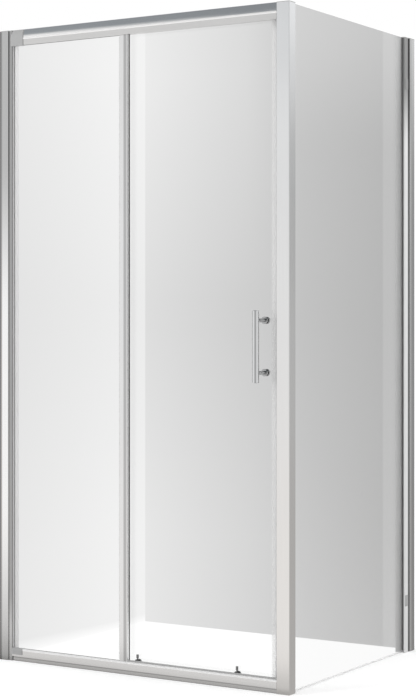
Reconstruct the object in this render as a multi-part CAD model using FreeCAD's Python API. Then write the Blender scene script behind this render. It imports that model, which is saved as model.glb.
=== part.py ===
"""Corner shower enclosure: a front with one fixed pane and one sliding door, and a fixed side pane.

Lengths are in millimetres. X runs along the front to the right, Y into the enclosure and Z up.
The origin is on the floor, under the middle of the sill. All is drawn with the door shut.
"""

import FreeCAD
import Part
import math
import os

V = FreeCAD.Vector
RIGHT = V(1, 0, 0)
INWARD = V(0, 1, 0)
UP = V(0, 0, 1)

# ------------------------------------------------------------------ driving dimensions
# whole enclosure
WIDTH = 1000.0  # left wall to the outer face of the corner post
DEPTH = 800.0  # front face of the frame to the back wall
HEIGHT = 1900.0
FRAME_DEPTH = 36.0  # posts and rails, front to back

# extrusions and the grooves that hold the panes
WALL = 1.5  # thickness of the posts' and rails' walls
GROOVE_DEPTH = 14.0
GASKET = 1.0  # between a pane and its groove
EDGE_GAP = 1.0  # a pane's edge to the bottom of its groove
EDGE_ROUND = 1.2  # outer corners of the posts
CAP = 2.0  # plastic caps on top of the posts
CAP_TAB = 8.0  # how far their tabs reach down
CLIP_GAP = 0.15  # between a clipped-on cover and what it covers
FIT = 0.02  # radial, round a fixed pin, screw or stud

# panes
GLASS = 6.0
SETBACK = 7.0  # outer face of the frame to a fixed pane
DOOR_SETBACK = 28.0  # front face of the frame to the door's pane
FIXED_REACH = 462.0  # left wall to the free end of the fixed pane's end profile

# wall profiles, and the posts that telescope into them
PROFILE_REACH = 34.0
PROFILE_BASE = 1.8  # thickness against the wall
PROFILE_PROUD = 2.5  # beyond the faces of the post
LIP = 2.0  # thickness of the lips at the mouth
LIP_GAP = 0.3  # lips to the post's neck
NECK_RECESS = 1.5  # neck behind the post's faces
NECK_INSET = 12.0  # wall to the end of the neck
FRONT_NECK_SHOWN = 3.0
SIDE_NECK_SHOWN = 7.5
FRONT_POST_FACE = 9.6
SIDE_POST_FACE = 21.5
WALL_HOLE_R = 2.75
WALL_HOLE_MARGIN = 150.0  # end holes to the ends of the profile
CORNER_WIDTH = 40.0

# header
HEADER_HEIGHT = 47.0
HEADER_FACE = 21.5  # height of its upright face
HEADER_LEAN = 5.5  # how far the curved band above it leans back
HEADER_GROOVE = 23.0  # depth of its glass groove
RIDGE_RISE = 16.5  # header's underside to the ridge
RIDGE_HEIGHT = 5.0
RIDGE_PROUD = 1.0
REAR_LIP = 20.0  # height of the lip behind the door
HEADER_CAP_LENGTH = 45.0
HEADER_CAP_SKIN = 0.8  # over the ridge
HEADER_CAP_LAP = 3.6  # over the face of the post
HEADER_CAP_ROUND = 6.0

# sill
SILL_HEIGHT = 38.0
SILL_FOOT = 14.0  # height of the recessed foot
FOOT_RECESS = 4.0
SILL_ROUND = 5.0
SILL_DAM = 10.0  # height of the lip behind the door
SILL_CAP_LENGTH = 38.0
SILL_CAP_SKIN = 1.8
SILL_CAP_RISE = 20.0  # floor to its lower edge
STRIP_LEGS = 8.4  # legs of the strips that close the rails' empty grooves
SILL_STRIP_PROUD = 4.0  # the lower strip stands up as a splash bead

# screws that draw the rails to the posts
PORT_WALL = 1.3
SCREW_R = 1.9
SCREW_HEAD_R = 3.3
SCREW_HEAD = 2.4
SCREW_BITE = 16.0  # length in the rail

# door
DOOR_OVERLAP = 34.0  # over the fixed pane's end profile, when shut
DOOR_TRAVEL = 372.0
DOOR_TOP_DROP = 15.0  # full height to the top of the glass
DOOR_BOTTOM = 12.0
END_PROFILE_WIDTH = 27.0  # on the fixed pane
TRAILING_WIDTH = 25.0  # on the door
END_NOSE = 9.5  # hollow nose of either profile, past the glass
SLIM_WALL = 1.2
SLIM_GAP = 0.2
SHUT_GAP = 0.5  # between the two magnet strips
MAGNET_STRIP = 2.0  # on the corner post
MAGNET_STRIP_WIDTH = 14.0
MAGNET_SEAL = 15.5  # past the edge of the door's glass
SEAL_GRIP = 12.0  # of the magnet seal on the glass
SEAL_WALL = 1.0
FIN_FOOT = 3.0  # width of the trailing seal's foot
MAGNET = 4.0  # magnet bar in the magnet seal

# wheels, tracks and roller units
WHEEL_R = 11.0
TREAD_R = 9.5  # axle to the crown of the bead, less the rolling gap
GROOVE_R = 9.2  # bottom of the wheels' V groove
WHEEL_WIDTH = 6.0
WHEEL_SETBACK = 20.0  # front face of the frame to the middle of the wheels
AXLE_R = 2.5
AXLE_HEAD_R = 4.0
AXLE_HEAD = 0.8
RUNNING = 0.05  # radial, wheel on axle
SIDE_PLAY = 0.2  # wheel to axle head and to its carrier
ROLLING_GAP = 0.1  # tread to track
TRACK_WIDTH = 3.0
TRACK_HEIGHT = 2.2
TRACK_SHOULDER = 0.7  # shelf past the track
TOP_AXLE_DROP = 16.0  # full height to the top axles
BOTTOM_AXLE_RISE = 18.0
TOP_SPACING = 26.0  # between the two wheels of a unit
BOTTOM_SPACING = 30.0
UNIT_FROM_TRAILING = 58.0  # door's trailing end to the left units
UNIT_FROM_CLOSING = 137.0  # closing end of the magnet seal to the right units
TOP_BOLT_DROP = 32.0  # full height to the top bolts
BOTTOM_BOLT_RISE = 36.0
TOP_LOBE_R = 9.0
AXLE_LOBE_R = 6.5
SLIDER_LOBE_R = 5.5
BOLT_R = 2.8
BOLT_HEAD_R = 7.0
BOLT_HEAD = 5.0
BOLT_HEAD_BEVEL = 2.2
BOLT_HOLE_R = 5.0  # in the glass
BUSH_WALL_GAP = 0.2
WASHER = 1.0
WASHER_R = 8.0

# spring-loaded release of the bottom wheels
SLIDER = 2.0  # thickness of the slider
SLIDER_GAP = 0.2
GUIDE_PLATE = 2.5
TONGUE_HALF = 5.0
GUIDE_COLLAR = 3.0
GUIDE_LIP = 1.8
GUIDE_SHOULDER_R = 6.5
GUIDE_SHOULDERS = 9.0  # between the middles of its two shoulders
COLLAR_RISE = 40.0  # floor to the collar's underside
STEM_R = 1.8
STEM_PLAY = 0.1  # radial, in the collar
BUTTON_SKIN = 2.0  # thickness of its top
BUTTON_WALL = 0.6  # of the skirt round the spring
BUTTON_BEVEL = 0.8
BUTTON_TOP = 58.0
RELEASE_TRAVEL = 4.5
SPRING_WIRE_R = 0.3
WIRE_SIDES = 6
SPRING_R = 2.6  # to the middle of the wire
SPRING_TURNS = 4
SPRING_PLAY = 0.15  # spring to skirt

# handle
BAR_R = 10.0
BAR_LENGTH = 200.0
BAR_MIDDLE = 953.0  # floor to the middle of the bar
BAR_OFFSET = 53.0  # glass to the middle of the bar
BAR_BEVEL = 1.0
HANDLE_INSET = 34.0  # edge of the door's glass to the handle
STANDOFF_SPACING = 145.0
STANDOFF_R = 5.5
COLLAR_R = 10.0
COLLAR = 5.0
COLLAR_BEVEL = 0.8
STUD_R = 3.0
STUD_BITE = 8.0
KNOB = 9.0
KNOB_BEVEL = 2.5

# bumpers in the header
BUMPER_LENGTH = 20.0
BUMPER_GAP = 1.0
BUMPER_PAST_AXLES = 5.5  # their tops above the top axles

# side pane
BOTTOM_SEAL = 3.0  # under the glass
BOTTOM_SEAL_LIP = 5.0  # up its faces
GASKET_LIP = 3.0  # gaskets past the posts' faces
COVER_WIDTH = 20.0
COVER_HEIGHT = 34.0
COVER_SKIN = 1.5
COVER_ROUND = 0.9
COVER_PEG_R = 3.0
COVER_RISE = 160.0  # floor to the lower cover
COVER_DROP = 146.0  # full height to the upper cover
PROFILE_SCREW_MARGIN = 250.0  # end screws to the ends of the profile

# ------------------------------------------------------------------ planes that pieces share
LEFT_WALL = -WIDTH / 2
RIGHT_FACE = WIDTH / 2
FRONT = -FRAME_DEPTH / 2
REAR = FRAME_DEPTH / 2
BACK_WALL = FRONT + DEPTH
POST_TOP = HEIGHT - CAP

FIXED_FRONT = FRONT + SETBACK
FIXED_BACK = FIXED_FRONT + GLASS
GROOVE_FRONT = FIXED_FRONT - GASKET
GROOVE_BACK = FIXED_BACK + GASKET
DOOR_FRONT = FRONT + DOOR_SETBACK
DOOR_BACK = DOOR_FRONT + GLASS
WHEEL_Y = FRONT + WHEEL_SETBACK
WHEEL_BACK = WHEEL_Y + WHEEL_WIDTH / 2
SHELF_REAR = WHEEL_Y + TRACK_WIDTH / 2 + TRACK_SHOULDER

FRONT_FACE_START = PROFILE_REACH + FRONT_NECK_SHOWN
FRONT_FACE_END = FRONT_FACE_START + FRONT_POST_FACE
SIDE_FACE_START = PROFILE_REACH + SIDE_NECK_SHOWN
SIDE_FACE_END = SIDE_FACE_START + SIDE_POST_FACE
RAIL_LEFT = LEFT_WALL + FRONT_FACE_END
RAIL_RIGHT = RIGHT_FACE - CORNER_WIDTH

HEADER_BOTTOM = HEIGHT - HEADER_HEIGHT
HEADER_CEILING = HEADER_BOTTOM + HEADER_GROOVE
SILL_FLOOR = SILL_HEIGHT - GROOVE_DEPTH
FIXED_END = LEFT_WALL + FIXED_REACH
FIXED_GLASS_END = FIXED_END - END_NOSE
FIXED_GLASS_LEFT = RAIL_LEFT - GROOVE_DEPTH + EDGE_GAP
FIXED_GLASS_TOP = HEADER_CEILING - EDGE_GAP
FIXED_GLASS_BOTTOM = SILL_FLOOR + EDGE_GAP

DOOR_TOP = HEIGHT - DOOR_TOP_DROP
DOOR_LEFT = FIXED_END - DOOR_OVERLAP
DOOR_GLASS_LEFT = DOOR_LEFT + END_NOSE
DOOR_RIGHT = RAIL_RIGHT - MAGNET_STRIP - SHUT_GAP
DOOR_GLASS_RIGHT = DOOR_RIGHT - MAGNET_SEAL
DOOR_TRIM_TOP = HEIGHT - REAR_LIP - GASKET_LIP
DOOR_TRIM_BOTTOM = DOOR_BOTTOM + SEAL_WALL
HANDLE_X = DOOR_GLASS_RIGHT - HANDLE_INSET
BAR_Y = DOOR_FRONT - BAR_OFFSET
STANDOFF_Z = (BAR_MIDDLE - STANDOFF_SPACING / 2, BAR_MIDDLE + STANDOFF_SPACING / 2)

UNIT_X = (DOOR_LEFT + UNIT_FROM_TRAILING, DOOR_RIGHT - UNIT_FROM_CLOSING)
TOP_AXLE_Z = HEIGHT - TOP_AXLE_DROP
TOP_BOLT_Z = HEIGHT - TOP_BOLT_DROP
TOP_SHELF = TOP_AXLE_Z - TREAD_R - ROLLING_GAP - TRACK_HEIGHT
BOTTOM_SHELF = BOTTOM_AXLE_RISE + TREAD_R + ROLLING_GAP + TRACK_HEIGHT
CARRIER_FRONT = WHEEL_BACK + SIDE_PLAY
AXLE_HEAD_BACK = WHEEL_Y - WHEEL_WIDTH / 2 - SIDE_PLAY
GUIDE_FRONT = DOOR_FRONT - GUIDE_PLATE
SLIDER_BACK = GUIDE_FRONT - SLIDER_GAP
SLIDER_FRONT = SLIDER_BACK - SLIDER
STEM_Y = SLIDER_BACK - STEM_R
COLLAR_TOP = COLLAR_RISE + GUIDE_COLLAR
BUTTON_BOTTOM = COLLAR_TOP + RELEASE_TRAVEL + LIP_GAP
SPRING_ROOM_R = SPRING_R + SPRING_WIRE_R + SPRING_PLAY

SIDE_OUTER = RIGHT_FACE - SETBACK
SIDE_INNER = SIDE_OUTER - GLASS
SIDE_GLASS_FRONT = REAR - GROOVE_DEPTH + EDGE_GAP
SIDE_GLASS_BACK = BACK_WALL - SIDE_FACE_END + GROOVE_DEPTH - EDGE_GAP
SIDE_GLASS_TOP = POST_TOP - LIP_GAP


# ------------------------------------------------------------------ basic shapes
def box(x0, x1, y0, y1, z0, z1):
    return Part.makeBox(x1 - x0, y1 - y0, z1 - z0, V(x0, y0, z0))


def prism(points, direction):
    return Part.Face(Part.makePolygon(points + points[:1])).extrude(direction)


def rod(radius, start, direction, length):
    return Part.makeCylinder(radius, length, start, direction)


def rod_x(radius, x0, x1, y, z):
    return rod(radius, V(x0, y, z), RIGHT, x1 - x0)


def rod_y(radius, x, y0, y1, z):
    return rod(radius, V(x, y0, z), INWARD, y1 - y0)


def rod_z(radius, x, y, z0, z1):
    return rod(radius, V(x, y, z0), UP, z1 - z0)


def join(shapes):
    shapes = list(shapes)
    return shapes[0].multiFuse(shapes[1:]).removeSplitter()


def cut(shape, tools):
    return shape.cut(Part.makeCompound(list(tools)))


def edges_at(shape, x=None, y=None, z=None):
    """The straight edges that lie at the given coordinates from end to end."""
    wanted = [(axis, value) for axis, value in (("x", x), ("y", y), ("z", z)) if value is not None]
    return [
        edge
        for edge in shape.Edges
        if all(abs(getattr(v.Point, axis) - value) < 1e-6 for v in edge.Vertexes for axis, value in wanted)
    ]


def hull_plate(circles, y0, y1):
    """A plate between two planes of Y that wraps round circles of (x, z, radius), in turn."""
    pieces = [rod_y(radius, x, y0, y1, z) for x, z, radius in circles]
    middle = [V(x, y0, z) for x, z, _ in circles]
    pieces.append(prism(middle, INWARD * (y1 - y0)))
    for (xa, za, ra), (xb, zb, rb) in zip(circles, circles[1:] + circles[:1]):
        pieces.append(tangent_web(xa, za, ra, xb, zb, rb, y0, y1))
    return join(pieces)


def tangent_web(xa, za, ra, xb, zb, rb, y0, y1):
    """The web between two circles, as wide as their outer tangents."""
    length = math.hypot(xb - xa, zb - za)
    heading = math.atan2(zb - za, xb - xa)
    spread = math.acos((ra - rb) / length)
    corners = []
    for x, z, radius, turn in (
        (xa, za, ra, spread),
        (xb, zb, rb, spread),
        (xb, zb, rb, -spread),
        (xa, za, ra, -spread),
    ):
        angle = heading + turn
        corners.append(V(x + radius * math.cos(angle), y0, z + radius * math.sin(angle)))
    return prism(corners, INWARD * (y1 - y0))


class WallEdge:
    """A corner of the enclosure at a wall: u runs out from the wall, v in from the outer face."""

    def __init__(self, corner, away, inward):
        self.corner = corner
        self.away = away
        self.inward = inward

    def point(self, u, v, z):
        return self.corner + self.away * u + self.inward * v + UP * z

    def box(self, u0, u1, v0, v1, z0, z1):
        a = self.point(u0, v0, z0)
        b = self.point(u1, v1, z1)
        return box(min(a.x, b.x), max(a.x, b.x), min(a.y, b.y), max(a.y, b.y), z0, z1)

    def rod_away(self, radius, u0, u1, v, z):
        return rod(radius, self.point(u0, v, z), self.away, u1 - u0)

    def rod_inward(self, radius, u, v0, v1, z):
        return rod(radius, self.point(u, v0, z), self.inward, v1 - v0)


FRONT_EDGE = WallEdge(V(LEFT_WALL, FRONT, 0), RIGHT, INWARD)
SIDE_EDGE = WallEdge(V(RIGHT_FACE, BACK_WALL, 0), INWARD * -1, RIGHT * -1)


# ------------------------------------------------------------------ wall profiles and posts
def wall_hole_heights():
    return (WALL_HOLE_MARGIN, POST_TOP / 2, POST_TOP - WALL_HOLE_MARGIN)


def profile_screw_heights():
    return (PROFILE_SCREW_MARGIN, POST_TOP - PROFILE_SCREW_MARGIN)


def wall_profile(edge):
    """The channel on the wall, with lips that guide the post's neck."""
    near = -PROFILE_PROUD
    far = FRAME_DEPTH + PROFILE_PROUD
    shell = edge.box(0, PROFILE_REACH, near, far, 0, POST_TOP)
    inside = edge.box(PROFILE_BASE, PROFILE_REACH - LIP, near + WALL, far - WALL, 0, POST_TOP)
    mouth_near = NECK_RECESS - LIP_GAP
    mouth = edge.box(PROFILE_REACH - LIP, PROFILE_REACH, mouth_near, FRAME_DEPTH - mouth_near, 0, POST_TOP)
    holes = [edge.rod_away(WALL_HOLE_R, 0, PROFILE_BASE, FRAME_DEPTH / 2, z) for z in wall_hole_heights()]
    holes += [
        edge.rod_inward(SCREW_R + FIT, PROFILE_REACH / 2, far - WALL, far, z) for z in profile_screw_heights()
    ]
    return cut(shell, [inside, mouth] + holes)


def wall_post(edge, face_start, face_end):
    """The hollow post: a neck in the wall profile, a face, and a groove for the pane."""
    outside = join(
        [
            edge.box(NECK_INSET, face_start, NECK_RECESS, FRAME_DEPTH - NECK_RECESS, 0, POST_TOP),
            edge.box(face_start, face_end, 0, FRAME_DEPTH, 0, POST_TOP),
        ]
    )
    neck_near = NECK_RECESS + WALL
    neck_far = FRAME_DEPTH - neck_near
    neck_hollow = edge.box(NECK_INSET + WALL, face_start + WALL, neck_near, neck_far, 0, POST_TOP)
    face_hollow = edge.box(face_start + WALL, face_end - WALL, WALL, FRAME_DEPTH - WALL, 0, POST_TOP)
    hollow = join([neck_hollow, face_hollow])
    near = SETBACK - GASKET
    far = SETBACK + GLASS + GASKET
    groove_walls = edge.box(face_end - GROOVE_DEPTH - WALL, face_end, near - WALL, far + WALL, 0, POST_TOP)
    groove = edge.box(face_end - GROOVE_DEPTH, face_end, near, far, 0, POST_TOP)
    inner_face = FRAME_DEPTH - NECK_RECESS
    holes = [
        edge.rod_inward(SCREW_R + FIT, PROFILE_REACH / 2, inner_face - WALL, inner_face, z)
        for z in profile_screw_heights()
    ]
    return cut(outside, [hollow.cut(groove_walls), groove] + holes)


def front_wall_post():
    """The left post, with holes for the screws into header and sill."""
    post = wall_post(FRONT_EDGE, FRONT_FACE_START, FRONT_FACE_END)
    reach = GROOVE_DEPTH + WALL
    return cut(post, [rod_x(SCREW_R + FIT, RAIL_LEFT - reach, RAIL_LEFT, y, z) for y, z in screw_ports()])


def side_wall_post():
    """The back post, with holes for the pegs of its two covers."""
    post = wall_post(SIDE_EDGE, SIDE_FACE_START, SIDE_FACE_END)
    holes = [SIDE_EDGE.rod_inward(COVER_PEG_R + FIT, cover_u(), 0, WALL, z) for z in cover_heights()]
    return cut(post, holes)


def corner_post():
    """The hollow post at the corner, with the groove for the side pane in its rear face."""
    outside = box(RAIL_RIGHT, RIGHT_FACE, FRONT, REAR, 0, POST_TOP)
    corners = [(RAIL_RIGHT, FRONT), (RAIL_RIGHT, REAR), (RIGHT_FACE, FRONT), (RIGHT_FACE, REAR)]
    edges = [edge for x, y in corners for edge in edges_at(outside, x=x, y=y)]
    outside = outside.makeFillet(EDGE_ROUND, edges)
    groove_left = SIDE_INNER - GASKET
    groove_right = SIDE_OUTER + GASKET
    groove_floor = REAR - GROOVE_DEPTH
    hollow = box(RAIL_RIGHT + WALL, RIGHT_FACE - WALL, FRONT + WALL, REAR - WALL, 0, POST_TOP)
    groove_walls = box(groove_left - WALL, groove_right + WALL, groove_floor - WALL, REAR, 0, POST_TOP)
    groove = box(groove_left, groove_right, groove_floor, REAR, 0, POST_TOP)
    holes = [rod_x(SCREW_R + FIT, RAIL_RIGHT, RAIL_RIGHT + WALL, y, z) for y, z in screw_ports()]
    return cut(outside, [hollow.cut(groove_walls), groove] + holes)


def profile_cap(edge):
    """The cap on a wall profile, over the neck too, with a tab that plugs the channel."""
    plate = edge.box(0, PROFILE_REACH, -PROFILE_PROUD, FRAME_DEPTH + PROFILE_PROUD, POST_TOP, HEIGHT)
    tab = edge.box(
        PROFILE_BASE + CLIP_GAP,
        NECK_INSET - CLIP_GAP,
        WALL - PROFILE_PROUD + CLIP_GAP,
        FRAME_DEPTH + PROFILE_PROUD - WALL - CLIP_GAP,
        POST_TOP - CAP_TAB,
        POST_TOP,
    )
    return join([plate, tab])


def post_cap(edge, face_end):
    """The cap on a wall post, with a tab in the hollow behind the groove."""
    plate = edge.box(PROFILE_REACH + LIP_GAP, face_end, 0, FRAME_DEPTH, POST_TOP, HEIGHT)
    tab = edge.box(
        PROFILE_REACH + LIP_GAP,
        face_end - WALL - SCREW_HEAD - CLIP_GAP,
        SETBACK + GLASS + GASKET + WALL + CLIP_GAP,
        FRAME_DEPTH - NECK_RECESS - WALL - CLIP_GAP,
        POST_TOP - CAP_TAB,
        POST_TOP,
    )
    return join([plate, tab])


def corner_post_cap():
    """The cap on the corner post, with a tab in the hollow in front of the groove."""
    plate = box(RAIL_RIGHT, RIGHT_FACE, FRONT, REAR, POST_TOP, HEIGHT)
    corners = [(RAIL_RIGHT, FRONT), (RIGHT_FACE, FRONT), (RIGHT_FACE, REAR)]
    plate = plate.makeFillet(EDGE_ROUND, [edge for x, y in corners for edge in edges_at(plate, x=x, y=y)])
    tab = box(
        RAIL_RIGHT + WALL + SCREW_HEAD + CLIP_GAP,
        RIGHT_FACE - WALL - CLIP_GAP,
        FRONT + WALL + CLIP_GAP,
        REAR - GROOVE_DEPTH - WALL - CLIP_GAP,
        POST_TOP - CAP_TAB,
        POST_TOP,
    )
    return join([plate, tab])


# ------------------------------------------------------------------ header
def port_outer_r():
    return SCREW_R + PORT_WALL


def rear_port_y():
    """The rear ports lie as far back as the screws' heads fit in the posts' hollows."""
    return REAR - WALL - SCREW_HEAD_R - LIP_GAP


def header_ports():
    """(y, z) of the screw ports in the header: over the glass groove, and hung from the top at the back."""
    over_groove = HEADER_CEILING + WALL + port_outer_r() - FIT
    under_top = POST_TOP - SCREW_HEAD_R - LIP_GAP
    return ((FIXED_FRONT + GLASS / 2, over_groove), (rear_port_y(), under_top))


def sill_ports():
    """(y, z) of the screw ports in the sill: under the glass groove, and at the back on the base."""
    under_groove = SILL_FLOOR - WALL - port_outer_r() + FIT
    on_base = WALL + port_outer_r() - FIT
    return ((FIXED_FRONT + GLASS / 2, under_groove), (rear_port_y(), on_base))


def screw_ports():
    return header_ports() + sill_ports()


def ridge(grow=0.0):
    """The rounded ridge along the header's face."""
    chord = RIDGE_HEIGHT / 2
    radius = (chord**2 + RIDGE_PROUD**2) / (2 * RIDGE_PROUD) + grow
    middle = HEADER_BOTTOM + RIDGE_RISE + RIDGE_HEIGHT / 2
    barrel = rod_x(radius, RAIL_LEFT, RAIL_RIGHT, FRONT - RIDGE_PROUD - grow + radius, middle)
    front = FRONT - RIDGE_PROUD - 2 * grow
    reach = chord + grow
    return barrel.common(box(RAIL_LEFT, RAIL_RIGHT, front, FRONT + WALL / 2, middle - reach, middle + reach))


def header_envelope(grow, x0, x1):
    """The header's closed outer form, grown outwards: upright face, then a band curved back to the top."""
    shoulder = HEADER_BOTTOM + HEADER_FACE
    rise = HEIGHT - shoulder
    radius = (rise**2 + HEADER_LEAN**2) / (2 * HEADER_LEAN)
    barrel = rod_x(radius + grow, x0, x1, FRONT + radius, shoulder)
    band = barrel.common(box(x0, x1, FRONT - grow, REAR, shoulder, HEIGHT))
    return join([box(x0, x1, FRONT - grow, REAR, HEADER_BOTTOM - grow, shoulder), band])


def header_rail():
    """The header: face, ridge, curved band, top, rear lip, glass groove and the track for the top wheels."""
    skin = header_envelope(0, RAIL_LEFT, RAIL_RIGHT)
    band_room = box(RAIL_LEFT, RAIL_RIGHT, FRONT, REAR - WALL, HEADER_CEILING + WALL, HEIGHT - WALL)
    band_inside = header_envelope(-WALL, RAIL_LEFT, RAIL_RIGHT).common(band_room)
    fin_front = GROOVE_FRONT - WALL
    fin_back = GROOVE_BACK + WALL
    hollow_front = box(RAIL_LEFT, RAIL_RIGHT, FRONT + WALL, fin_front, HEADER_BOTTOM + WALL, HEADER_CEILING)
    groove = box(RAIL_LEFT, RAIL_RIGHT, GROOVE_FRONT, GROOVE_BACK, HEADER_BOTTOM, HEADER_CEILING)
    behind = box(RAIL_LEFT, RAIL_RIGHT, fin_back, REAR - WALL, HEADER_BOTTOM, HEADER_CEILING + WALL)
    under_lip = box(RAIL_LEFT, RAIL_RIGHT, REAR - WALL, REAR, HEADER_BOTTOM, HEIGHT - REAR_LIP)
    rail = cut(skin, [band_inside, hollow_front, groove, behind, under_lip])
    shelf = box(RAIL_LEFT, RAIL_RIGHT, GROOVE_BACK, SHELF_REAR, TOP_SHELF - WALL, TOP_SHELF)
    ports = [rod_x(port_outer_r(), RAIL_LEFT, RAIL_RIGHT, y, z) for y, z in header_ports()]
    hanger_y, hanger_z = header_ports()[1]
    hanger = box(RAIL_LEFT, RAIL_RIGHT, hanger_y - WALL / 2, hanger_y + WALL / 2, hanger_z, HEIGHT - WALL)
    rail = join([rail, ridge(), shelf, track(TOP_SHELF, 1), hanger] + ports)
    return cut(rail, [rod_x(SCREW_R + FIT, RAIL_LEFT, RAIL_RIGHT, y, z) for y, z in header_ports()])


def track(shelf, side):
    """The round-topped bead that the wheels run on, above (1) or below (-1) a shelf."""
    radius = TRACK_WIDTH / 2
    crown = shelf + side * (TRACK_HEIGHT - radius)
    stem = box(
        RAIL_LEFT, RAIL_RIGHT, WHEEL_Y - radius, WHEEL_Y + radius, min(shelf, crown), max(shelf, crown)
    )
    return join([stem, rod_x(radius, RAIL_LEFT, RAIL_RIGHT, WHEEL_Y, crown)])


def header_end_cap():
    """The moulded cover over the header's left end, with a rounded lower corner."""
    x0 = RAIL_LEFT - HEADER_CAP_LAP
    x1 = x0 + HEADER_CAP_LENGTH
    skin = RIDGE_PROUD + HEADER_CAP_SKIN
    cover = header_envelope(skin, x0, x1).common(
        box(x0, x1, FRONT - skin, GROOVE_FRONT - CLIP_GAP, HEADER_BOTTOM - skin, HEIGHT)
    )
    lower_corner = edges_at(cover, x=x0, z=HEADER_BOTTOM - skin)
    cover = cover.makeFillet(HEADER_CAP_ROUND, lower_corner)
    post = box(x0, RAIL_LEFT + CLIP_GAP, FRONT - CLIP_GAP, REAR, 0, HEIGHT)
    return cut(cover, [header_envelope(CLIP_GAP, x0, x1), post, ridge(CLIP_GAP)])


# ------------------------------------------------------------------ sill
def sill_envelope(grow, x0, x1):
    """The rounded front part of the sill, grown outwards."""
    top = SILL_HEIGHT + grow
    front = FRONT - grow
    form = box(x0, x1, front, GROOVE_BACK + WALL, SILL_FOOT - grow, top)
    return form.makeFillet(SILL_ROUND + grow, edges_at(form, y=front, z=top))


def sill_rail():
    """The sill: recessed foot, rounded face, glass groove, base, dam and the track over the bottom wheels."""
    web_back = GROOVE_BACK + WALL
    foot_front = FRONT + FOOT_RECESS
    head = sill_envelope(0, RAIL_LEFT, RAIL_RIGHT)
    foot = box(RAIL_LEFT, RAIL_RIGHT, foot_front, web_back, 0, SILL_FOOT)
    head_hollow = sill_envelope(-WALL, RAIL_LEFT, RAIL_RIGHT).common(
        box(RAIL_LEFT, RAIL_RIGHT, FRONT, GROOVE_FRONT - WALL, 0, SILL_HEIGHT)
    )
    foot_hollow = box(RAIL_LEFT, RAIL_RIGHT, foot_front + WALL, GROOVE_BACK, WALL, SILL_FLOOR - WALL)
    groove = box(RAIL_LEFT, RAIL_RIGHT, GROOVE_FRONT, GROOVE_BACK, SILL_FLOOR, SILL_HEIGHT)
    rail = cut(join([head, foot]), [head_hollow, foot_hollow, groove])
    base = box(RAIL_LEFT, RAIL_RIGHT, GROOVE_BACK, REAR, 0, WALL)
    dam = box(RAIL_LEFT, RAIL_RIGHT, REAR - WALL, REAR, 0, SILL_DAM)
    shelf = box(RAIL_LEFT, RAIL_RIGHT, GROOVE_BACK, SHELF_REAR, BOTTOM_SHELF, BOTTOM_SHELF + WALL)
    ports = [rod_x(port_outer_r(), RAIL_LEFT, RAIL_RIGHT, y, z) for y, z in sill_ports()]
    rail = join([rail, base, dam, shelf, track(BOTTOM_SHELF, -1)] + ports)
    return cut(rail, [rod_x(SCREW_R + FIT, RAIL_LEFT, RAIL_RIGHT, y, z) for y, z in sill_ports()])


def sill_end_cap():
    """The moulded cover over the sill's left end, on its upper half."""
    x0 = RAIL_LEFT + CLIP_GAP
    x1 = x0 + SILL_CAP_LENGTH
    top = SILL_HEIGHT + SILL_CAP_SKIN
    reach = box(x0, x1, FRONT - SILL_CAP_SKIN, GROOVE_FRONT - CLIP_GAP, SILL_CAP_RISE, top)
    cover = sill_envelope(SILL_CAP_SKIN, x0, x1).common(reach)
    return cover.cut(sill_envelope(CLIP_GAP, x0, x1))


def cover_strip(open_face, groove_end, proud=0.0):
    """The channel that closes the empty part of a rail's groove, flush with its open face or proud of it."""
    x0 = FIXED_END + CLIP_GAP
    inward = 1 if groove_end > open_face else -1
    legs = open_face + inward * STRIP_LEGS
    face = open_face - inward * proud
    y0 = GROOVE_FRONT + CLIP_GAP
    y1 = GROOVE_BACK - CLIP_GAP
    body = box(x0, RAIL_RIGHT, y0, y1, min(face, legs), max(face, legs))
    body = body.makeFillet(SLIM_WALL, edges_at(body, y=y0, z=face) + edges_at(body, y=y1, z=face))
    skin = face + inward * SLIM_WALL
    hollow = box(x0, RAIL_RIGHT, y0 + SLIM_WALL, y1 - SLIM_WALL, min(skin, legs), max(skin, legs))
    return body.cut(hollow)


# ------------------------------------------------------------------ fixed front pane
def fixed_glass():
    return box(
        FIXED_GLASS_LEFT, FIXED_GLASS_END, FIXED_FRONT, FIXED_BACK, FIXED_GLASS_BOTTOM, FIXED_GLASS_TOP
    )


def rail_gasket(z0, z1):
    """The gasket of the fixed pane in the header's or sill's groove."""
    body = box(RAIL_LEFT, FIXED_GLASS_END, GROOVE_FRONT, GROOVE_BACK, z0, z1)
    return body.cut(fixed_glass())


def fixed_post_gasket():
    """The gasket in the left post's groove, with the dark lips that show beside the post."""
    left = RAIL_LEFT - GROOVE_DEPTH
    body = box(left, RAIL_LEFT, GROOVE_FRONT, GROOVE_BACK, FIXED_GLASS_BOTTOM, FIXED_GLASS_TOP)
    lips_low = SILL_HEIGHT + CLIP_GAP
    lips_high = HEADER_BOTTOM - CLIP_GAP
    lips = box(RAIL_LEFT, RAIL_LEFT + GASKET_LIP, GROOVE_FRONT, GROOVE_BACK, lips_low, lips_high)
    return join([body, lips]).cut(fixed_glass())


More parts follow.
